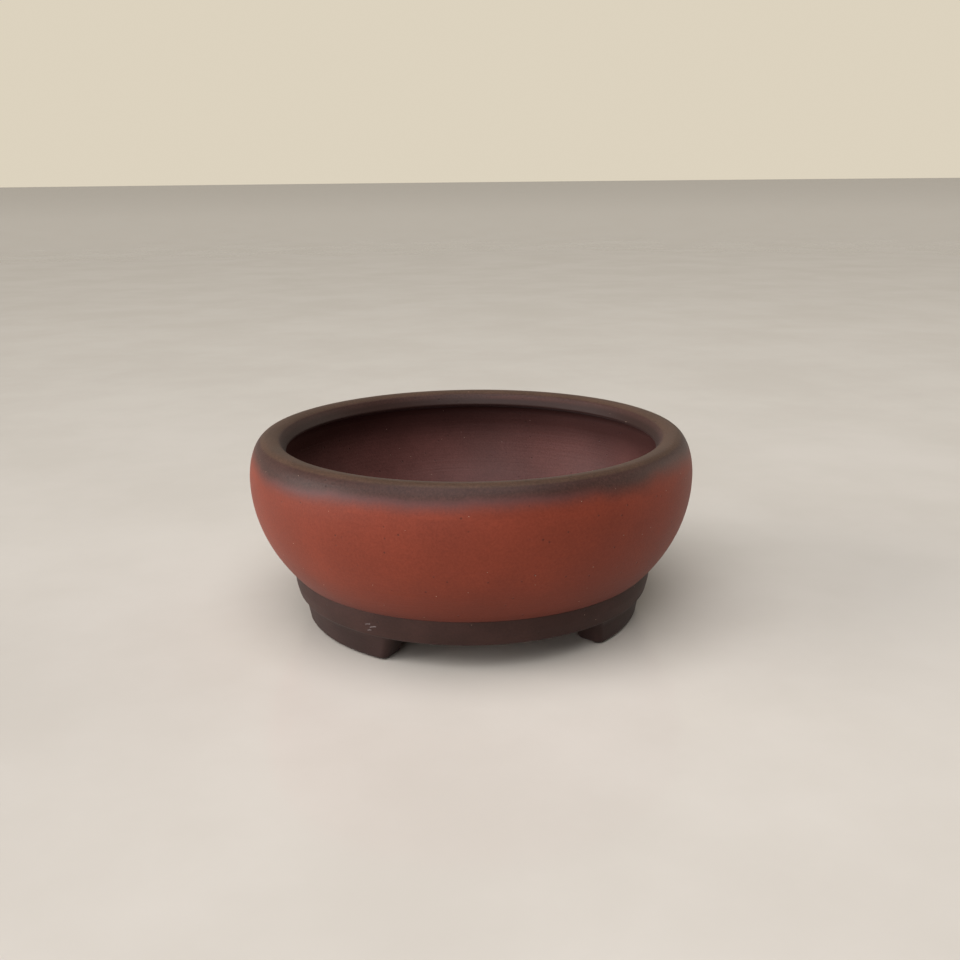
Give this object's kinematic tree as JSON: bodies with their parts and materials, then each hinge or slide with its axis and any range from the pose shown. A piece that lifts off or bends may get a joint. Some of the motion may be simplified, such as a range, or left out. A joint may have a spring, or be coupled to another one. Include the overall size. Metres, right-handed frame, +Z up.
{
  "type": "bonsai pot",
  "caption": "Round low bonsai pot in unglazed clay: bellied wall, rolled-in lip, stepped base ring and three slanted feet, with drainage and wiring holes in its floor.",
  "frame": {"origin": "centre of the feet's standing plane, on the pot's axis", "axes": "+Z up along the pot's axis; one foot is at the back, on +Y, and the other two are at the front left and the front right"},
  "size_m": [0.15, 0.15, 0.0631],
  "materials": {
    "red_clay": "unglazed red-brown stoneware, satin, finely pitted",
    "smoked_clay": "smoke-darkened unglazed stoneware, satin, grey-brown",
    "dark_clay": "dark brown unglazed stoneware, dull satin"
  },
  "bodies": {
    "root": {"belly_wall": "red_clay", "rolled_lip": "smoked_clay", "floor_slab": "red_clay", "base_ring": "dark_clay", "foot_rear": "dark_clay", "foot_front_left": "dark_clay", "foot_front_right": "dark_clay"}
  },
  "joints": []
}
